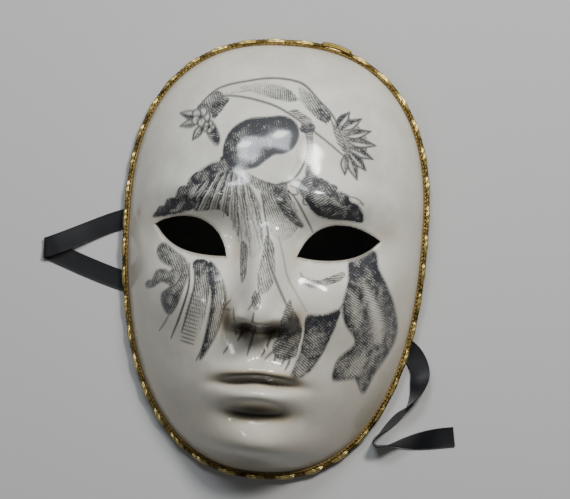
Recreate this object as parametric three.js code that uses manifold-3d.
// Venetian masquerade mask: a whole face of papier-mache that lies face up on its rim,
// with a gold gimp braid round the rim and two satin ribbons glued inside at the temples.
// Millimetres. +Z is out of the face, +Y is towards the forehead, the rim rests on Z = 0.
import * as THREE from 'three';
import { mergeVertices } from 'three/addons/utils/BufferGeometryUtils.js';
import Module from 'manifold-3d';

const wasm = await Module();
wasm.setup();

// Overall sizes of the shell.
const HALF_WIDTH = 77.6;         // half of the width at the widest level
const FOREHEAD_HEIGHT = 112.6;   // from the middle to the top of the rim
const CHIN_HEIGHT = 112.6;       // from the middle to the bottom of the rim
const WIDEST_LEVEL = 20;         // how far above the middle the face is widest
const DOME_DEPTH = 58;           // depth of the plain dome under the features
const WALL = 2.6;                // thickness of the papier-mache
const FOREHEAD_ROUNDNESS = 2.4;  // exponents of the outline's two halves
const CHIN_ROUNDNESS = 2.35;

// Section of the dome, from the crown to the rim.
const DOME_CUT = 0.96;           // share of the full round that is left when the rim is trimmed
const DOME_SQUARENESS = 2.3;
const DOME_FULLNESS = 0.62;

// Features.
const NOSE_LENGTH = 27;          // how far the nose tip is below the middle
const NOSE_RISE = 20;            // how far the tip stands out of the dome
const NOSE_HALF_WIDTH = 9;
const MOUTH_LEVEL = -60.5;
const EYE_LEVEL = 10;
const EYE_SPACING = 37;          // from the middle line to the middle of each eye opening
const EYE_LENGTH = 40;
const EYE_HEIGHT = 19;
const EYE_CUT_SHIFT = [-2, -1];   // the openings were cut a little to one side of the sockets
const EYE_CUT_TURN = THREE.MathUtils.degToRad(-2.6);

// Soft mounds and hollows of the face: rise, place across and up, half width and half height.
// Those away from the middle line are there on both sides.
const MOUNDS = [
  [-10.5, EYE_SPACING - 3, EYE_LEVEL, 23, 15],        // eye sockets
  [5, EYE_SPACING - 6, EYE_LEVEL + 21, 24, 9],        // brows
  [-3.5, 0, EYE_LEVEL + 10, 9, 12],                   // root of the nose
  [3.5, 0, 3 - NOSE_LENGTH, 9, 8],                    // tip of the nose
  [7, 11, -1 - NOSE_LENGTH, 5.5, 6.5],                // wings of the nose
  [6.5, EYE_SPACING + 1, -20, 22, 19],                // cheeks
  [11, 0, MOUTH_LEVEL - 8, 34, 30],                   // muzzle
  [-1.6, 0, MOUTH_LEVEL + 14, 3.2, 7],                // furrow above the lips
  [-4.4, 0, MOUTH_LEVEL - 16.5, 17, 5],               // fold under the lips
  [20, 0, MOUTH_LEVEL - 36, 30, 11.5],                // chin
];

// Bands along the mouth: rise, place up from the line between the lips, half height, and how far
// the band reaches to either side and how squarely it ends there.
const LIPS = [
  [4.6, 5.2, 5, 19, 3],                               // upper lip
  [6.2, -6.6, 5.2, 15.5, 2.6],                        // lower lip
  [-2.6, 0, 3.6, 21, 4],                              // line between the lips
];
const LIP_BOW = 1.2;             // rise of the line at its middle
const LIP_DROOP = 1.1;           // fall of the line 20 mm to either side

// Corners of an eye opening as shares of its length and height, and what its edges bend towards.
const EYE_OUTER = [0.5, 0.23];
const EYE_INNER = [-0.5, -0.45];
const EYE_LID = [[0.24, 0.62], [-0.33, 0.86]];
const EYE_BASE = [[-0.22, -0.52], [0.23, -0.6]];

// Rim: low arches where a ribbon can pass under it, and flats between them.
const ARCH_HEIGHT = 2.2;
const ARCHES = [                 // angle round the rim and half width, in degrees
  [-12, 32], [192, 32], [-52, 24], [232, 24],
];

// Braid.
const BRAID_FOOT = 0.6;          // how far the braid starts above the rim's edge
const TAPE_WIDTH = 6.2;
const TAPE_THICKNESS = 0.6;
const PAD_PITCH = 15.2;          // one smooth pad and one wrapped stretch
const PAD_LOW = 1.0;             // thickness of the wrapped stretch
const PAD_HIGH = 1.8;            // thickness of the pad at its middle
const PAD_WIDTH = 3.4;
const PAD_SHOULDER = 0.5;        // how much lower the pads' edges are than their middle
const PICOT_THICKNESS = 0.9;
const LAP_ANGLE = 74;            // where the braid's free end laps over its start
const LAP_LENGTH = 15;
const LAP_THICKNESS = 0.6;       // at its two ends
const LAP_SWELL = 0.6;           // more than that at its middle
const LAP_INSET = 0.4;           // how much narrower than the tape it is, on each side

// Ribbons and the patches that hold them.
const RIBBON_WIDTH = 10;
const RIBBON_THICKNESS = 0.5;
const PATCH_LENGTH = 26;         // round the rim
const PATCH_HEIGHT = 20;         // up the wall
const PATCH_THICKNESS = 0.8;
const PATCH_LEVEL = 9;           // height of the patch's lower edge above the rim
const PATCH_ANGLE = -3;          // where the patches are, measured from the widest level

const GAP = 0.3;                 // clearance between pieces that touch

// Fineness of the meshes.
const SHELL_STEPS = 84;
const SHELL_RINGS = 22;
const BRAID_STEPS = 112;
const STEPS_PER_PAD = 4;
const RIBBON_STEPS = 120;

const DEGREE = Math.PI / 180;
const clamp01 = (t) => Math.min(1, Math.max(0, t));
const smooth = (t) => clamp01(t) ** 2 * (3 - 2 * clamp01(t));

// Outline: two half superellipses that meet at the widest level.
const outlineRadius = (angle) => {
  const up = Math.sin(angle) >= 0;
  const reach = up ? FOREHEAD_HEIGHT - WIDEST_LEVEL : CHIN_HEIGHT + WIDEST_LEVEL;
  const power = up ? FOREHEAD_ROUNDNESS : CHIN_ROUNDNESS;
  const across = (Math.abs(Math.cos(angle)) / HALF_WIDTH) ** power;
  const along = (Math.abs(Math.sin(angle)) / reach) ** power;
  return (across + along) ** (-1 / power);
};

// Angles that share the outline into equal lengths.
const evenAngles = (count) => {
  const fine = 2880;
  const length = [0];
  for (let i = 1; i <= fine; i++) {
    const [a, b] = [i - 1, i].map((k) => (k / fine) * 2 * Math.PI);
    const [ra, rb] = [outlineRadius(a), outlineRadius(b)];
    const chord = Math.hypot(rb * Math.cos(b) - ra * Math.cos(a), rb * Math.sin(b) - ra * Math.sin(a));
    length.push(length[i - 1] + chord);
  }
  const angles = [];
  for (let k = 0, i = 0; k < count; k++) {
    const wanted = (k / count) * length[fine];
    while (length[i + 1] < wanted) i++;
    const part = (wanted - length[i]) / (length[i + 1] - length[i]);
    angles.push(((i + part) / fine) * 2 * Math.PI);
  }
  return { angles, perimeter: length[fine] };
};

const rimLift = (angle) => {
  const turn = ((angle / DEGREE + 450) % 360) - 90;
  return ARCHES.reduce((lift, [middle, half]) => {
    const away = Math.abs(turn - middle) / half;
    return lift + (away < 1 ? ARCH_HEIGHT * Math.cos((away * Math.PI) / 2) ** 2 : 0);
  }, 0);
};

const dome = (share) => {
  const round = (s) => (1 - Math.min(1, DOME_CUT * s) ** DOME_SQUARENESS) ** DOME_FULLNESS;
  return (DOME_DEPTH * (round(share) - round(1))) / (1 - round(1));
};

const hill = (x, y, cx, cy, sx, sy) => Math.exp(-(((x - cx) / sx) ** 2) - ((y - cy) / sy) ** 2);

// The ridge starts between the brows, widens and rises to the tip, and ends steeply under it.
const noseRidge = (x, y) => {
  const start = EYE_LEVEL + 16;
  const down = smooth((start - y) / (start + NOSE_LENGTH));
  const under = 1 - smooth((-NOSE_LENGTH - y) / 11);
  const width = NOSE_HALF_WIDTH * (0.85 + 0.35 * down);
  return NOSE_RISE * down ** 0.9 * under * Math.exp(-(Math.abs(x / width) ** 2.2));
};

const lip = (x, y, [rise, up, high, reach, squareness]) => {
  const line = MOUTH_LEVEL + LIP_BOW * Math.exp(-((x / 6) ** 2)) - LIP_DROOP * (x / 20) ** 2;
  const ends = Math.exp(-(Math.abs(x / reach) ** squareness));
  return rise * ends * Math.exp(-(((y - line - up) / high) ** 2));
};

const features = (x, y) => {
  const mounds = MOUNDS.map(([rise, ...shape]) => rise * hill(Math.abs(x), y, ...shape));
  const lips = LIPS.map((band) => lip(x, y, band));
  return [noseRidge(x, y), ...mounds, ...lips].reduce((sum, part) => sum + part, 0);
};

const height = (x, y) => {
  const angle = Math.atan2(y - WIDEST_LEVEL, x);
  const share = Math.hypot(x, y - WIDEST_LEVEL) / outlineRadius(angle);
  const fade = 1 - Math.min(1, share) ** 8;
  return dome(share) + fade * features(x, y) + rimLift(angle) * Math.min(1, share) ** 10;
};

const surfaceNormal = (x, y) => {
  const step = 0.05;
  const slopeX = (height(x + step, y) - height(x - step, y)) / (2 * step);
  const slopeY = (height(x, y + step) - height(x, y - step)) / (2 * step);
  return new THREE.Vector3(-slopeX, -slopeY, 1).normalize();
};

const planPoint = (angle, share) => {
  const reach = share * outlineRadius(angle);
  return [reach * Math.cos(angle), WIDEST_LEVEL + reach * Math.sin(angle)];
};

// A point off the wall near the rim: so far up the wall from the edge, and so far out of it.
const wallPoint = (angle, up, out) => {
  const [rimX, rimY] = planPoint(angle, 1);
  const rimNormal = surfaceNormal(rimX, rimY);
  const [x, y] = planPoint(angle, 1 - (up * rimNormal.z) / outlineRadius(angle));
  return new THREE.Vector3(x, y, height(x, y)).addScaledVector(surfaceNormal(x, y), out);
};

const geometryOf = (points, faces) => {
  const geometry = new THREE.BufferGeometry();
  geometry.setAttribute('position', new THREE.Float32BufferAttribute(points.flatMap((p) => p.toArray()), 3));
  geometry.setIndex(faces.flat());
  return geometry;
};

// A closed solid from rings of points that run clockwise as seen from where the sweep comes from.
// Its two broad sides are split along the same diagonals, so a thin twisted strip keeps its thickness.
const sweep = (rings, closed) => {
  const count = rings[0].length;
  const faces = [];
  const last = closed ? rings.length : rings.length - 1;
  for (let i = 0; i < last; i++) {
    const [a, b] = [i * count, ((i + 1) % rings.length) * count];
    for (let k = 0; k < count; k++) {
      const next = (k + 1) % count;
      if (k < count / 2) faces.push([a + k, b + next, a + next], [a + k, b + k, b + next]);
      else faces.push([a + k, b + k, a + next], [a + next, b + k, b + next]);
    }
  }
  if (!closed) {
    const end = (rings.length - 1) * count;
    for (let k = 1; k < count - 1; k++) faces.push([0, k, k + 1], [end, end + k + 1, end + k]);
  }
  return geometryOf(rings.flat(), faces);
};

const solidOf = (geometry) => {
  const bare = geometry.clone();
  bare.deleteAttribute('normal');
  bare.deleteAttribute('uv');
  const merged = mergeVertices(bare, 1e-5);
  const mesh = new wasm.Mesh({
    numProp: 3,
    vertProperties: new Float32Array(merged.attributes.position.array),
    triVerts: new Uint32Array(merged.index.array),
  });
  return new wasm.Manifold(mesh);
};

const geometryFrom = (solid) => {
  const mesh = solid.getMesh();
  const geometry = new THREE.BufferGeometry();
  geometry.setAttribute('position', new THREE.Float32BufferAttribute(mesh.vertProperties, 3));
  geometry.setIndex(new THREE.Uint32BufferAttribute(mesh.triVerts, 1));
  return geometry;
};

// The left eye opening mirrors the right one, a leaf with a blunt inner corner and a raised outer
// one, and then both are turned and shifted the same way, as they were cut by hand.
const eyeCutter = (side) => {
  const middle = new THREE.Vector2(side * EYE_SPACING, EYE_LEVEL);
  const shift = new THREE.Vector2(...EYE_CUT_SHIFT);
  const at = ([along, up]) => new THREE.Vector2(side * along * EYE_LENGTH, up * EYE_HEIGHT)
    .add(middle)
    .rotateAround(middle, EYE_CUT_TURN)
    .add(shift);
  const lid = new THREE.CubicBezierCurve(at(EYE_OUTER), ...EYE_LID.map(at), at(EYE_INNER));
  const base = new THREE.CubicBezierCurve(at(EYE_INNER), ...EYE_BASE.map(at), at(EYE_OUTER));
  const outline = [...lid.getPoints(12), ...base.getPoints(10).slice(1, -1)];
  const cutter = new THREE.ExtrudeGeometry(new THREE.Shape(outline), {
    depth: DOME_DEPTH + NOSE_RISE,
    bevelEnabled: false,
  });
  return solidOf(cutter);
};

const maskShell = () => {
  const { angles } = evenAngles(SHELL_STEPS);
  const outerPoints = [];
  const innerPoints = [];
  for (let ring = 0; ring <= SHELL_RINGS; ring++) {
    const even = ring / SHELL_RINGS;
    const share = even + 0.12 * even * (1 - even);
    for (const angle of ring ? angles : [0]) {
      const [x, y] = planPoint(angle, share);
      const point = new THREE.Vector3(x, y, height(x, y));
      const normal = surfaceNormal(x, y);
      const inset = ring === SHELL_RINGS
        ? new THREE.Vector3(normal.x, normal.y, 0).multiplyScalar(1 / (1 - normal.z ** 2))
        : normal;
      outerPoints.push(point);
      innerPoints.push(point.clone().addScaledVector(inset, -WALL));
    }
  }
  const inside = outerPoints.length;
  const rim = 1 + (SHELL_RINGS - 1) * SHELL_STEPS;
  const faces = [];
  for (let k = 0; k < SHELL_STEPS; k++) {
    const next = (k + 1) % SHELL_STEPS;
    faces.push([0, 1 + k, 1 + next], [inside, inside + 1 + next, inside + 1 + k]);
    for (let ring = 1; ring < SHELL_RINGS; ring++) {
      const [a, b] = [1 + (ring - 1) * SHELL_STEPS, 1 + ring * SHELL_STEPS];
      faces.push([a + k, b + k, b + next], [a + k, b + next, a + next]);
      faces.push(
        [inside + a + k, inside + b + next, inside + b + k],
        [inside + a + k, inside + a + next, inside + b + next],
      );
    }
    faces.push(
      [rim + k, inside + rim + k, inside + rim + next],
      [rim + k, inside + rim + next, rim + next],
    );
  }
  const blank = solidOf(geometryOf([...outerPoints, ...innerPoints], faces));
  return geometryFrom(blank.subtract(eyeCutter(1)).subtract(eyeCutter(-1)));
};

// A band round the rim: each corner is [up the wall, out of the wall], as a function of the angle.
const rimBand = (angles, corners) => sweep(
  angles.map((angle, i) => corners(i).map(([up, out]) => wallPoint(angle, up, out))),
  true,
);

const TAPE_OUT = GAP + TAPE_THICKNESS;

const braidTape = () => {
  const low = BRAID_FOOT;
  const high = BRAID_FOOT + TAPE_WIDTH;
  const section = [[low, GAP], [low, TAPE_OUT], [high, TAPE_OUT], [high, GAP]];
  return rimBand(evenAngles(BRAID_STEPS).angles, () => section);
};

// The tape's flat outer face parts a little from the curved wall, so what lies on it keeps a gap to it.
const PICOT_OUT = TAPE_OUT + GAP;
const PICOT_UP = BRAID_FOOT + PICOT_THICKNESS;

const braidPicot = () => {
  const section = [
    [BRAID_FOOT, PICOT_OUT], [BRAID_FOOT, PICOT_OUT + PICOT_THICKNESS],
    [PICOT_UP, PICOT_OUT + PICOT_THICKNESS], [PICOT_UP, PICOT_OUT],
  ];
  return rimBand(evenAngles(BRAID_STEPS).angles, () => section);
};

const padBand = () => {
  const { perimeter } = evenAngles(4);
  const pads = Math.round(perimeter / PAD_PITCH);
  const { angles } = evenAngles(pads * STEPS_PER_PAD);
  const low = PICOT_UP + 1.3 * GAP;
  return rimBand(angles, (i) => {
    const swell = 0.5 - 0.5 * Math.cos((i / STEPS_PER_PAD) * 2 * Math.PI);
    const out = PICOT_OUT + PAD_LOW + (PAD_HIGH - PAD_LOW) * swell;
    return [
      [low, PICOT_OUT], [low, out - PAD_SHOULDER], [low + PAD_WIDTH / 2, out],
      [low + PAD_WIDTH, out - PAD_SHOULDER], [low + PAD_WIDTH, PICOT_OUT],
    ];
  });
};

const LAP_OUT = PICOT_OUT + PAD_HIGH + 1.3 * GAP;

const braidLap = () => {
  const middle = LAP_ANGLE * DEGREE;
  const half = LAP_LENGTH / 2 / outlineRadius(middle);
  const rings = [];
  for (let i = 0; i <= 6; i++) {
    const angle = middle + half * (i / 3 - 1);
    const crown = LAP_THICKNESS + LAP_SWELL * Math.sin((i / 6) * Math.PI);
    const [low, high] = [BRAID_FOOT + LAP_INSET, BRAID_FOOT + TAPE_WIDTH - LAP_INSET];
    const section = [[low, LAP_OUT], [low, LAP_OUT + crown], [high, LAP_OUT + crown], [high, LAP_OUT]];
    rings.push(section.map(([up, out]) => wallPoint(angle, up, out)));
  }
  return sweep(rings, false);
};

// A patch lies over the glued end of its ribbon, on the inner side of the wall.
const RIBBON_IN = WALL + GAP;
const PATCH_IN = RIBBON_IN + RIBBON_THICKNESS + 2 * GAP;

// Routes of the ribbons: each row is a point of the centreline and the direction of the width there.
// A ribbon is glued inside at the temple, and what isn't seen lies on its edge in the hollow.
const LEFT_ROUTE = [
  [-62.3, 16, 22.3, 0, 1, 0], [-65, 16, 19.3, 0, 1, 0], [-67.3, 16, 15.8, 0, 1, 0],
  [-70.9, 16.3, 9, 0, 1, 0], [-72.6, 17, 4.4, 0, 1, 0], [-73.2, 17.3, 1.5, 0.1, 1, 0],
  [-77.5, 16.8, 0.7, -0.2, 1, 0], [-86, 13.7, 0.7, -0.4, 0.9, 0], [-96, 9.2, 1.3, -0.42, 0.9, 0],
  [-106, 4.5, 2.8, -0.4, 0.9, 0], [-114, 0.9, 3.9, -0.35, 0.93, 0],
  [-118.6, -0.9, 3.6, -0.12, 1, 0], [-120.2, -1.3, 2.3, 0, 1, 0], [-118.6, -1.8, 0.9, 0.12, 1, 0],
  [-110, -5, 0.7, 0.33, 0.94, 0], [-98, -9.4, 0.7, 0.34, 0.94, 0], [-86, -13.4, 0.7, 0.28, 0.96, 0],
  [-76, -16.2, 0.7, 0.15, 0.98, 0], [-68, -17.8, 0.8, 0.1, 1, 0], [-59, -18.8, 3.9, 0.05, 0.8, 0.6],
  [-50, -18.4, 5.4, 0, 0.35, 0.94], [-40, -17, 5.5, 0, 0, 1], [-27, -15.5, 5.5, 0, 0, 1],
  [-14, -19, 5.5, 0, 0, 1], [-6, -33, 5.5, 0, 0, 1], [-7, -51, 5.5, 0, 0, 1],
  [-17, -66, 5.5, 0, 0, 1], [-33, -71, 5.5, 0, 0, 1], [-47, -63, 5.5, 0, 0, 1],
  [-52, -48, 5.5, 0, 0, 1], [-46, -34, 5.5, 0, 0, 1], [-33, -29, 5.5, 0, 0, 1],
  [-22, -36, 5.5, 0, 0, 1], [-20, -49, 5.5, 0, 0, 1], [-29, -57, 5.5, 0, 0, 1],
  [-38, -50, 5.5, 0, 0, 1],
];
const RIGHT_ROUTE = [
  [62.3, 16, 22.3, 0, 1, 0], [65, 16, 19.3, 0, 1, 0], [67.3, 16, 15.8, 0, 1, 0],
  [70.9, 16, 9, 0, 1, 0], [72.4, 16.2, 4.6, 0, 1, 0], [70.9, 16.5, 1.6, 0, 1, 0],
  [67.2, 15.2, 1.5, -0.35, 1, 0], [64.6, 9.4, 5.3, -0.75, 0.3, 0.62], [63.4, 0, 5.5, 0, 0, 1],
  [60, -11, 5.5, 0, 0, 1], [50, -17.4, 5.5, 0, 0, 1], [36, -17, 5.5, 0, 0, 1], [22, -17, 5.5, 0, 0, 1],
  [12, -20, 5.5, 0, 0, 1], [9, -27, 5.5, 0, 0, 1], [15, -33, 5.5, 0, 0, 1], [28, -33, 5.5, 0, 0, 1],
  [37, -36, 5.5, 0, 0, 1], [38, -45, 5.5, 0, 0, 1], [29, -49, 5.5, 0, 0, 1], [16, -49, 5.5, 0, 0, 1],
  [8, -55, 5.5, 0, 0, 1], [10, -65, 5.5, 0, 0, 1], [22, -69, 5.5, 0, 0, 1], [36, -66, 5.5, 0, 0, 1],
  [46, -56, 5.4, -0.2, 0.1, 0.96], [53, -47, 3.6, -0.55, 0.62, 0.5], [60, -41.5, 0.9, -0.4, 1, 0],
  [67, -40, 0.65, 0.2, 1, 0], [72.8, -42.4, 0.65, 0.6, 0.8, 0], [77.2, -47.8, 0.8, 0.93, 0.35, 0],
  [79.2, -54.5, 1.8, 0.97, 0, 0.2], [78, -62.5, 4.6, 0.6, -0.15, 0.78],
  [74.6, -69.5, 5.5, 0.1, 0, 1], [69.9, -75.8, 5.4, -0.3, 0.25, 0.9],
  [64.6, -81.8, 5.4, -0.3, 0.2, 0.93], [59.2, -87.2, 5.5, 0, 0, 1], [57.2, -90.2, 5.5, 0, 0, 1],
  [59.2, -92, 5.5, 0, 0, 1], [64.5, -91.3, 5.5, 0, 0.1, 1], [73, -89.6, 4.9, 0, 0.6, 0.8],
  [82, -87.8, 3, -0.05, 0.9, 0.43], [91, -86.2, 1.1, -0.1, 1, 0.06], [98.5, -85, 0.7, -0.15, 1, 0],
];

const ribbon = (route) => {
  const curveOf = (first) => new THREE.CatmullRomCurve3(
    route.map((row) => new THREE.Vector3(...row.slice(first, first + 3))),
  );
  const [middle, width] = [curveOf(0), curveOf(3)];
  const rings = [];
  for (let i = 0; i <= RIBBON_STEPS; i++) {
    const point = middle.getPoint(i / RIBBON_STEPS);
    const along = middle.getTangent(i / RIBBON_STEPS);
    const across = width.getPoint(i / RIBBON_STEPS);
    across.addScaledVector(along, -across.dot(along)).normalize();
    const thick = along.clone().cross(across);
    rings.push([[1, 1], [1, -1], [-1, -1], [-1, 1]].map(([a, b]) => point.clone()
      .addScaledVector(across, (a * RIBBON_WIDTH) / 2)
      .addScaledVector(thick, (b * RIBBON_THICKNESS) / 2)));
  }
  return sweep(rings, false);
};

const ribbonPatch = (side) => {
  const middle = PATCH_ANGLE * DEGREE;
  const half = PATCH_LENGTH / 2 / HALF_WIDTH;
  const rings = [];
  for (let i = 0; i <= 6; i++) {
    const right = middle + half * (i / 3 - 1);
    const angle = side > 0 ? right : Math.PI - right;
    const rows = [0, 1, 2, 3].map((k) => PATCH_LEVEL + (PATCH_HEIGHT * k) / 3);
    const near = rows.map((up) => wallPoint(angle, up, -PATCH_IN));
    const far = rows.map((up) => wallPoint(angle, up, -PATCH_IN - PATCH_THICKNESS));
    rings.push([...near, ...far.reverse()]);
  }
  return sweep(side > 0 ? rings : rings.reverse(), false);
};

const piece = (name, geometry, color, roughness, metalness) => {
  const material = new THREE.MeshStandardMaterial({ color, roughness, metalness });
  const mesh = new THREE.Mesh(geometry, material);
  mesh.name = name;
  return mesh;
};

const mask = new THREE.Group();
mask.add(
  piece('mask_shell', maskShell(), 0xd9d6c8, 0.22, 0),
  piece('braid_tape', braidTape(), 0x8a6a22, 0.6, 0.4),
  piece('braid_picot', braidPicot(), 0xa88430, 0.4, 0.8),
  piece('braid_pads', padBand(), 0xc9a24a, 0.3, 0.9),
  piece('braid_lap', braidLap(), 0xb8923c, 0.35, 0.85),
  piece('ribbon_left', ribbon(LEFT_ROUTE), 0x15151a, 0.45, 0),
  piece('ribbon_right', ribbon(RIGHT_ROUTE), 0x15151a, 0.45, 0),
  piece('ribbon_patch_left', ribbonPatch(-1), 0xcfcabb, 0.8, 0),
  piece('ribbon_patch_right', ribbonPatch(1), 0xcfcabb, 0.8, 0),
);

export default mask;
